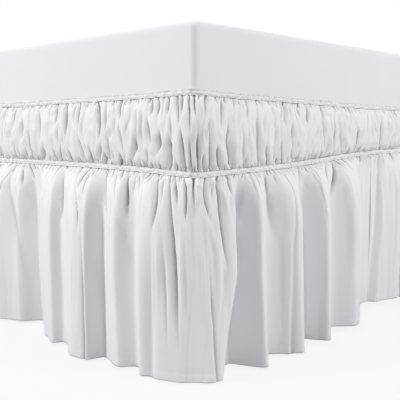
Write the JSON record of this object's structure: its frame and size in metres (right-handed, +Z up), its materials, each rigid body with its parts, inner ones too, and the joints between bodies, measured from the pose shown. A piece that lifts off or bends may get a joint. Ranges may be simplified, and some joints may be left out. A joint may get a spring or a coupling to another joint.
{
  "type": "bed skirt and bed",
  "caption": "Ruffled wrap-round bed skirt: an elastic top band, a puffed gathered panel, a second elastic band and a long gathered drop, fitted round a plain bed.",
  "frame": {"origin": "on the floor, under the middle of the bed", "axes": "+Z up; Y runs along the bed's length with the foot end at -Y; X runs across the bed"},
  "size_m": [1.1714, 2.0899, 0.6745],
  "materials": {
    "skirt_cloth": "fine plain-woven white cloth, matt with a faint sheen, lightly creased",
    "elastic_band": "narrow shirred casing over elastic, white, matt",
    "mattress_cover": "smooth knitted white cover, matt",
    "bed_wood": "plain oiled wood, satin"
  },
  "bodies": {
    "root": {"mattress": "mattress_cover", "bed_base": "bed_wood", "leg_foot_left": "bed_wood", "leg_foot_right": "bed_wood", "leg_head_left": "bed_wood", "leg_head_right": "bed_wood", "top_band": "elastic_band", "upper_panel": "skirt_cloth", "middle_band": "elastic_band", "skirt_panel": "skirt_cloth"}
  },
  "joints": []
}
